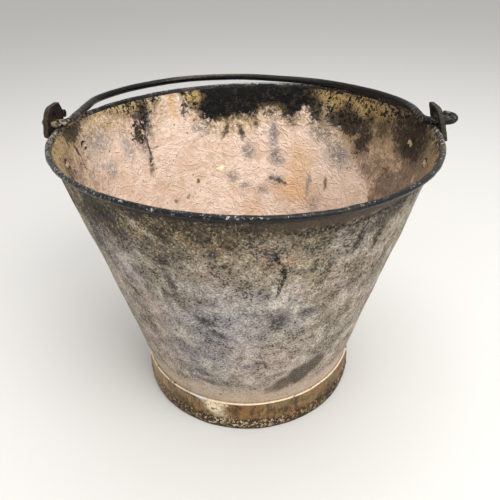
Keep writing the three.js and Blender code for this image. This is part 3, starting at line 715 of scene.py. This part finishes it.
def wallDent(azimuth, z):                    # how far the sheet is pushed out, on both of its sides
    s = wall
    share = np.clip((z - s['footHeight']) / (s['rimHeight'] - s['footHeight']), 0, 1)
    push = -s['hollow'] * np.sin(np.pi * share)
    turn = (np.degrees(azimuth) - s['dentTurn'] + 180) % 360 - 180
    least, rest = s['dentShares']
    under = smoothStep(z, *s['dentTop']) * (least + rest * smoothStep(z, *s['dentRise']))
    push -= s['dentDepth'] * under * np.exp(-(turn / s['dentWide']) ** 2) * smoothStep(z, *s['dentFoot'])
    groove = np.exp(-((z - s['grooveHeight']) / s['grooveWide']) ** 2) * smoothStep(z, *s['grooveTop'])
    push -= s['grooveDepth'] * groove
    around = np.stack([np.cos(azimuth) * s['unevenRadius'], np.sin(azimuth) * s['unevenRadius'], z], 1)
    calm = smoothStep(z, *s['calmFoot']) * smoothStep(z, *s['calmTop'])
    broad, small = s['unevenSizes']
    uneven = roll(s['unevenness'], broad, around, 1)
    uneven = uneven + roll(s['unevenness'] * s['smallShare'], small, around, 2)
    return push + calm * uneven


def makeWall():
    s = wall
    curl = s['beadRadius'] - s['sheet']
    start, turnBack = math.pi - s['lean'], math.radians(s['curlTurn'])
    coneTop = (s['rimRadius'] + curl * math.cos(start), s['rimHeight'] + curl * math.sin(start))
    innerTop = (s['rimRadius'] + s['beadRadius'] * math.cos(start),
                s['rimHeight'] + s['beadRadius'] * math.sin(start))
    innerFoot = (s['footRadius'] - s['sheet'], s['footHeight'] + s['sheet'] * math.tan(s['lean'] / 2))
    profile = [(s['footRadius'], z, 'out') for z in (s['bottom'], *s['lowRows'])]
    for row in range(s['rows'] + 1):
        share = row / s['rows']
        profile.append((s['footRadius'] + (coneTop[0] - s['footRadius']) * share,
                        s['footHeight'] + (coneTop[1] - s['footHeight']) * share, 'out'))
    for step in range(1, s['curlSteps'] + 1):
        angle = start - turnBack * step / s['curlSteps']
        profile.append((s['rimRadius'] + curl * math.cos(angle),
                        s['rimHeight'] + curl * math.sin(angle), 'curl'))
    for step in range(s['beadSteps'], -1, -1):
        angle = start - turnBack * step / s['beadSteps']
        profile.append((s['rimRadius'] + s['beadRadius'] * math.cos(angle),
                        s['rimHeight'] + s['beadRadius'] * math.sin(angle), 'bead'))
    for row in range(1, s['rows'] + 1):
        share = 1 - row / s['rows']
        profile.append((innerFoot[0] + (innerTop[0] - innerFoot[0]) * share,
                        innerFoot[1] + (innerTop[1] - innerFoot[1]) * share, 'in'))
    profile += [(innerFoot[0], z, 'in') for z in (*s['lowRows'][::-1], s['bottom'])]

    # evenly spaced columns, but round the seam ones that keep its edges straight and sharp
    half, edge, border = s['seamWidth'] / 2, s['seamEdge'], s['seamBorder']
    seamTurn = math.radians(s['seamTurn'])
    columns = []
    for i in range(s['columns']):
        azimuth = 2 * math.pi * i / s['columns']
        fromSeam = abs((azimuth - seamTurn + math.pi) % (2 * math.pi) - math.pi) * s['seamRadius']
        if fromSeam > half + s['seamRoom']:
            columns.append((azimuth, 0))
    oneSide = (half / 2, half - edge, half, half + border)
    columns += [(seamTurn, shift) for shift in (*(-one for one in oneSide[::-1]), 0, *oneSide)]
    columns.sort(key=lambda c: (c[0] + c[1] / s['seamRadius']) % (2 * math.pi))

    count = len(profile)
    radius = np.array([p[0] for p in profile])
    height = np.array([p[1] for p in profile])
    kinds = np.array([p[2] for p in profile])
    low, high = s['seamEnds']
    seamRows = (height > low) & (height < high)
    knotty = (kinds == 'bead') | (kinds == 'curl')
    spots = []
    for azimuth, shift in columns:
        turned = azimuth + shift / np.maximum(radius, s['seamRadius'])
        r = radius.copy()
        r[~knotty] += wallDent(turned, height)[~knotty]
        if abs(shift) < half and azimuth == seamTurn:
            r[seamRows & (kinds == 'out')] += s['seamProud']
            r[seamRows & (kinds == 'in') & (shift == 0)] += s['seamBackProud']
        around = np.stack([np.cos(turned) * r, np.sin(turned) * r, height], 1)
        lumps = [roll(*lump, around[knotty], seed) for seed, lump in enumerate(s['beadLumps'], 3)]
        wobble = lumps[0] + lumps[1]
        fromWire = np.stack([r[knotty] - s['rimRadius'], height[knotty] - s['rimHeight']], 1)
        swell = 1 + wobble / s['beadRadius'] * (kinds[knotty] == 'bead')
        r[knotty] = s['rimRadius'] + fromWire[:, 0] * swell
        z = height.copy()
        z[knotty] = s['rimHeight'] + fromWire[:, 1] * swell
        column = np.stack([np.cos(turned) * r, np.sin(turned) * r, z], 1)
        spots.append(knocked(column, turned))
    spots = np.concatenate(spots)
    faces, finishOf = [], []
    finishNumber = {'out': 0, 'in': 1, 'bead': 2, 'curl': 2}
    for c in range(len(columns)):
        n = (c + 1) % len(columns)
        for p in range(count):
            q = (p + 1) % count
            faces.append((c * count + p, n * count + p, n * count + q, c * count + q))
            pair = {kinds[p], kinds[q]}
            onBead = pair & {'bead', 'curl'} and pair != {'curl', 'out'}
            finishOf.append(2 if onBead else finishNumber[kinds[p]])
    addPiece('bucket_wall_sheet', spots, faces, [outside, inside, bead], finishOf,
             'bucket_wall', 'bucket')


def turnedPiece(name, outline, sides, change, finishes, finishOf, replaced, closed=False):
    count = len(outline)
    ring = np.array(outline, float)
    spots = []
    for side in range(sides):
        azimuth = 2 * math.pi * side / sides
        spots.append(np.stack([np.cos(azimuth) * ring[:, 0], np.sin(azimuth) * ring[:, 0], ring[:, 1]], 1))
    spots = change(np.concatenate(spots))
    faces, numbers = [], []
    for side in range(sides):
        after = (side + 1) % sides
        for p in range(count - closed):
            q = (p + 1) % count
            faces.append((side * count + p, after * count + p, after * count + q, side * count + q))
            numbers.append(finishOf(p))
    if closed:                               # a disc: its two innermost rings are filled
        for p in (0, count - 1):
            faces.append(tuple(side * count + p for side in range(sides)))
            numbers.append(finishOf(p))
    addPiece(name, spots, faces, finishes, numbers, replaced, 'bucket')


def rounded(points, radius, steps):          # the outline with its corners rounded
    made = []
    for i, corner in enumerate(points):
        before, after = Vector(points[i - 1]), Vector(points[(i + 1) % len(points)])
        corner = Vector(corner)
        a, b = before - corner, after - corner
        reach = min(radius, a.length * 0.45, b.length * 0.45)
        p, q = corner + a.normalized() * reach, corner + b.normalized() * reach
        for step in range(steps + 1):
            t = step / steps
            spot = p * (1 - t) ** 2 + corner * 2 * t * (1 - t) + q * t ** 2
            made.append((spot.x, spot.y))
    return made


foot = {
    'outline': [(98.6, 0), (100.6, 0), (100.95, 1.6), (101.2, 4.9), (100.85, 8.6), (99.9, 10.8), (99.7, 13),
                (99.7, 18), (99.7, 24), (99.7, 28.6), (100.3, 29.6), (100.25, 30.6), (99.6, 31),
                (98.6, 31)],
    'sides': 300, 'rounding': (0.5, 3), 'dents': (0.35, 24), 'hemDents': (0.45, 6), 'roughness': (0.12, 7),
    'innerSkin': (98.7, 99.6), 'hemTop': (12, 9), 'floorEdge': (-0.5, 1),
}


def makeFoot():
    s = foot
    outline = rounded(s['outline'], *s['rounding'])

    def change(spots):
        turned = np.arctan2(spots[:, 1], spots[:, 0])
        r = np.hypot(spots[:, 0], spots[:, 1])
        outer = smoothStep(r, *s['innerSkin'])
        low = smoothStep(spots[:, 2], *s['hemTop'])
        push = roll(*s['dents'], spots, 5) + low * roll(*s['hemDents'], spots, 6)
        push = push + roll(*s['roughness'], spots, 7)
        r = r + push * outer * smoothStep(spots[:, 2], *s['floorEdge'])
        return np.stack([np.cos(turned) * r, np.sin(turned) * r, spots[:, 2]], 1)

    turnedPiece('foot_ring_hoop', outline, s['sides'], change, [brass], lambda p: 0,
                'foot_ring')


base = {
    'radius': 97.3, 'top': 17, 'sheet': 1, 'bottom': 9, 'rings': 34, 'sides': 160, 'sag': 0.9,
    'sagReach': (90, 20), 'plateEdge': (96, 84), 'plateLow': 14, 'innermost': 0.02, 'outermost': 0.985,
    'shoulder': (0.3, 0.15, 0.6), 'waves': ((0.8, 38), (0.25, 12)),
}


def makeBase():
    s = base
    rims = [s['radius'] * share for share in np.linspace(s['innermost'], s['outermost'], s['rings'])]
    topLine = [(r, s['top']) for r in rims]
    lowLine = [(r, s['top'] - s['sheet']) for r in rims[::-1]]
    inset, drop, lower = s['shoulder']
    inner = s['radius'] - s['sheet']
    edge = [(s['radius'] - inset, s['top'] - drop), (s['radius'], s['top'] - lower),
            (s['radius'], s['bottom']), (inner, s['bottom']), (inner, s['top'] - s['sheet'])]
    outline = topLine + edge + lowLine[1:]

    def change(spots):
        r = np.hypot(spots[:, 0], spots[:, 1])
        plate = smoothStep(r, *s['plateEdge']) * (spots[:, 2] > s['plateLow'])
        flat = spots * (1, 1, 0)
        broad, small = s['waves']
        lift = -s['sag'] * smoothStep(r, *s['sagReach']) + roll(*broad, flat, 8) + roll(*small, flat, 9)
        return spots + (plate * lift)[:, None] * (0, 0, 1)

    turnedPiece('base_plate_disc', outline, s['sides'], change, [inside, underside],
                lambda p: int(p > len(topLine)), 'base_plate', closed=True)


iron = {
    'plate': {'voxel': 0.55, 'rough': 0.22}, 'rivet': {'voxel': 0.3, 'rough': 0.1},
    'soften': 3, 'lumps': 5, 'pits': 1.8, 'pitShare': 0.6, 'endSpots': 12,
}


# an iron piece: the solid made again in fine faces, its edges softened and its skin roughened
def forged(name, node, kind, finish):
    s = {**iron, **iron[kind]}
    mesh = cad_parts[node].data.copy()
    merged = bmesh.new()
    merged.from_mesh(mesh)
    bmesh.ops.remove_doubles(merged, verts=merged.verts, dist=0.00001)
    merged.to_mesh(mesh)
    merged.free()
    source = bpy.data.objects.new('source', mesh)
    bpy.context.collection.objects.link(source)
    remesh = source.modifiers.new('remesh', 'REMESH')
    remesh.mode, remesh.voxel_size = 'VOXEL', s['voxel'] / 1000
    smooth = source.modifiers.new('smooth', 'SMOOTH')
    smooth.factor, smooth.iterations = 0.5, s['soften']
    made = bpy.data.meshes.new_from_object(source.evaluated_get(bpy.context.evaluated_depsgraph_get()))
    bpy.data.objects.remove(source)
    count = len(made.vertices)
    spots, normals = np.zeros(count * 3), np.zeros(count * 3)
    made.vertices.foreach_get('co', spots)
    made.vertex_normals.foreach_get('vector', normals)
    spots, normals = spots.reshape(-1, 3) * 1000, normals.reshape(-1, 3)
    push = roll(s['rough'], s['lumps'], spots, 10) + roll(s['rough'] * s['pitShare'], s['pits'], spots, 11)
    spots = (spots + normals * push[:, None]) / 1000
    made.vertices.foreach_set('co', spots.ravel())
    made.materials.clear()
    made.materials.append(finish)
    made.polygons.foreach_set('material_index', [0] * len(made.polygons))
    addMesh(name, made, node, 'bucket')


def makeEars():
    for side, finish, slot in (('left', rustyIron, 'rusty_iron'), ('right', greyIron, 'grey_iron')):
        forged(f'{side}_ear_plate', f'{side}_ear', 'plate', finish)
        for number in (1, 2):
            node = f'{side}_ear_rivet_{number}'
            ends = np.array([v.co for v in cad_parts[node].data.vertices]) * 1000 - (axisX, axisY, 0)
            nearest = np.argsort(np.hypot(ends[:, 0], ends[:, 1]))[:iron['endSpots']]
            rivet = rivetFinish(f'{side}Rivet{number}', tuple(ends[nearest].mean(0)))
            forged(f'{side}_rivet_{number}', node, 'rivet', rivet)


handle = {
    'rodRadius': 3.2, 'hingeHeight': 241.55, 'archHeight': 242.45, 'rimRadius': 150, 'archReach': 158.7,
    'bendRadius': 7,
    'left': {'side': -1, 'leg': 141, 'start': 155.05, 'depth': 5, 'width': 29, 'turn': 90, 'run': 2.5},
    'right': {'side': 1, 'leg': 141.6, 'start': 157.8, 'depth': 9, 'width': 18, 'turn': 72, 'run': 0},
    'arch': [(-0.94, 0.151), (-0.941, 0.302), (-0.931, 0.454), (-0.881, 0.57), (-0.787, 0.706),
             (-0.673, 0.813), (-0.55, 0.899), (-0.417, 0.959), (-0.253, 0.991), (-0.067, 1), (0.08, 0.972),
             (0.217, 0.931), (0.353, 0.882), (0.485, 0.822), (0.607, 0.736), (0.72, 0.628), (0.82, 0.508),
             (0.9, 0.368), (0.939, 0.239), (0.944, 0.126)],
    'sides': 28, 'spacing': 0.8, 'curveSteps': 40, 'bendSteps': 3, 'endBulge': 0.35, 'endRings': 4,
    'endStart': 0.12, 'unevenness': 0.14, 'unevenSizes': (14, 4), 'smallShare': 0.5, 'drawnIn': 0.4,
}


def hookWay(hook):
    way = [(hook['start'] - hook['run'], hook['width'])] if hook['run'] else []

    def bend(x, y, radius, begin, end):
        for step in range(handle['bendSteps'] + 1):
            angle = math.radians(begin + (end - begin) * step / handle['bendSteps'])
            way.append((x + radius * math.cos(angle), y + radius * math.sin(angle)))

    bend(hook['start'], hook['width'] - hook['depth'], hook['depth'], hook['turn'], 0)
    bend(hook['start'], hook['depth'], hook['depth'], 0, -90)
    bend(hook['leg'] + handle['bendRadius'], handle['bendRadius'], handle['bendRadius'], 270, 180)
    return [(hook['side'] * x, y) for x, y in way]


def smoothWay(points):                       # a centripetal curve through the points, in even steps
    points = [np.array(p, float) for i, p in enumerate(points) if not i or math.dist(p, points[i - 1]) > 0.01]
    points = [2 * points[0] - points[1], *points, 2 * points[-1] - points[-2]]
    dense = []
    for a, b, c, d in zip(points, points[1:], points[2:], points[3:]):
        times = [0]
        for p, q in ((a, b), (b, c), (c, d)):
            times.append(times[-1] + math.dist(p, q) ** 0.5)
        for t in np.linspace(times[1], times[2], handle['curveSteps'], endpoint=False):
            low = [(p * (times[i + 1] - t) + q * (t - times[i])) / (times[i + 1] - times[i])
                   for i, (p, q) in enumerate(((a, b), (b, c), (c, d)))]
            mid = [(low[i] * (times[i + 2] - t) + low[i + 1] * (t - times[i])) / (times[i + 2] - times[i])
                   for i in (0, 1)]
            dense.append((mid[0] * (times[2] - t) + mid[1] * (t - times[1])) / (times[2] - times[1]))
    dense = np.array([*dense, points[-2]])
    lengths = np.concatenate([[0], np.cumsum(np.linalg.norm(np.diff(dense, axis=0), axis=1))])
    even = np.linspace(0, lengths[-1], int(lengths[-1] / handle['spacing']))
    return np.stack([np.interp(even, lengths, dense[:, i]) for i in range(3)], 1)


def makeHandle():
    s = handle
    flat = hookWay(s['left']) + [(x * s['rimRadius'], y * s['archReach']) for x, y in s['arch']]
    flat += hookWay(s['right'])[::-1]
    rise = (s['archHeight'] - s['hingeHeight']) / s['rimRadius']
    way = smoothWay([(x, y, s['hingeHeight'] + rise * y) for x, y in flat])
    ahead = np.gradient(way, axis=0)
    ahead /= np.linalg.norm(ahead, axis=1)[:, None]
    up = np.array([0, -rise, 1]) / math.hypot(1, rise)
    aside = np.cross(ahead, up)
    spots = []
    bulge = s['rodRadius'] * s['endBulge']
    turns = np.linspace(s['endStart'], math.pi / 2, s['endRings'] + 1)[:-1]
    ends = [(-math.cos(a) * s['rodRadius'] * s['endBulge'], math.sin(a)) for a in turns]
    rings = [(way[0] + ahead[0] * (back + bulge), 0, share) for back, share in ends]
    rings += [(spot, i, 1) for i, spot in enumerate(way[1:-1], 1)]
    rings += [(way[-1] - ahead[-1] * (back + bulge), -1, share) for back, share in ends[::-1]]
    angles = np.arange(s['sides']) * 2 * math.pi / s['sides']
    for centre, i, share in rings:
        ring = np.cos(angles)[:, None] * aside[i] + np.sin(angles)[:, None] * up
        spots.append(centre + s['rodRadius'] * share * ring)
    spots = np.concatenate(spots)
    centres = np.repeat([r[0] for r in rings], s['sides'], axis=0)
    broad, small = s['unevenSizes']
    push = roll(s['unevenness'], broad, spots, 12) + roll(s['unevenness'] * s['smallShare'], small, spots, 13)
    push = push - s['unevenness'] * s['drawnIn']
    spots = centres + (spots - centres) * (1 + push / s['rodRadius'])[:, None]
    faces, count = [], s['sides']
    for r in range(len(rings) - 1):
        for p in range(count):
            q = (p + 1) % count
            faces.append((r * count + p, r * count + q, (r + 1) * count + q, (r + 1) * count + p))
    faces.append(tuple(range(count)))
    faces.append(tuple(range((len(rings) - 1) * count, len(rings) * count)))
    addPiece('bail_rod', spots, faces, [rod], [0] * len(faces), 'bail_handle', 'handle')


makeWall()
makeFoot()
makeBase()
makeEars()
makeHandle()
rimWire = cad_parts['rim_wire']
rimWire.data.materials.clear()
rimWire.data.materials.append(wire)
print('pieces made')


# floor, background and light
studio = {
    'floor': shade(216, 214, 210),
    'floorRadius': 9, 'floorSides': 64, 'floorHeight': -0.0003, 'room': 0.66, 'aim': (0, 0, 0.12),
    'lamps': [('key', (0.75, -0.8, 1.25), 1.1, 19), ('fill', (-1.0, -0.9, 1.0), 1.3, 4),
              ('top', (0, 0.1, 1.6), 1.3, 10)],
}


def makeStudio():
    floorMesh = bpy.data.meshes.new('floor')
    reach, sides = studio['floorRadius'], studio['floorSides']
    turns = np.linspace(0, 2 * math.pi, sides, endpoint=False)
    ring = [(reach * math.cos(a), reach * math.sin(a), studio['floorHeight']) for a in turns]
    floorMesh.from_pydata(ring, [], [tuple(range(sides))])
    floor = bpy.data.objects.new('floor', floorMesh)
    bpy.context.collection.objects.link(floor)
    skin = Finish('paleFloor', {'Base Color': studio['floor'], 'Roughness': 0.9, 'Specular IOR Level': 0.2})
    floorMesh.materials.append(skin.material)

    world = bpy.data.worlds.new('studio')
    world.use_nodes = True
    bpy.context.scene.world = world
    tree = world.node_tree
    ambient = tree.nodes['Background']
    ambient.inputs['Color'].default_value = (1, 1, 1, 1)
    ambient.inputs['Strength'].default_value = studio['room']
    for name, place, size, power in studio['lamps']:
        light = bpy.data.lights.new(name, 'AREA')
        light.shape, light.size, light.energy = 'DISK', size, power
        lamp = bpy.data.objects.new(name, light)
        bpy.context.collection.objects.link(lamp)
        lamp.location = Vector(place)
        lamp.rotation_mode = 'QUATERNION'
        lamp.rotation_quaternion = (Vector(studio['aim']) - Vector(place)).to_track_quat('-Z', 'Y')


makeStudio()
bpy.context.scene.view_settings.view_transform = 'Standard'
print('studio made')
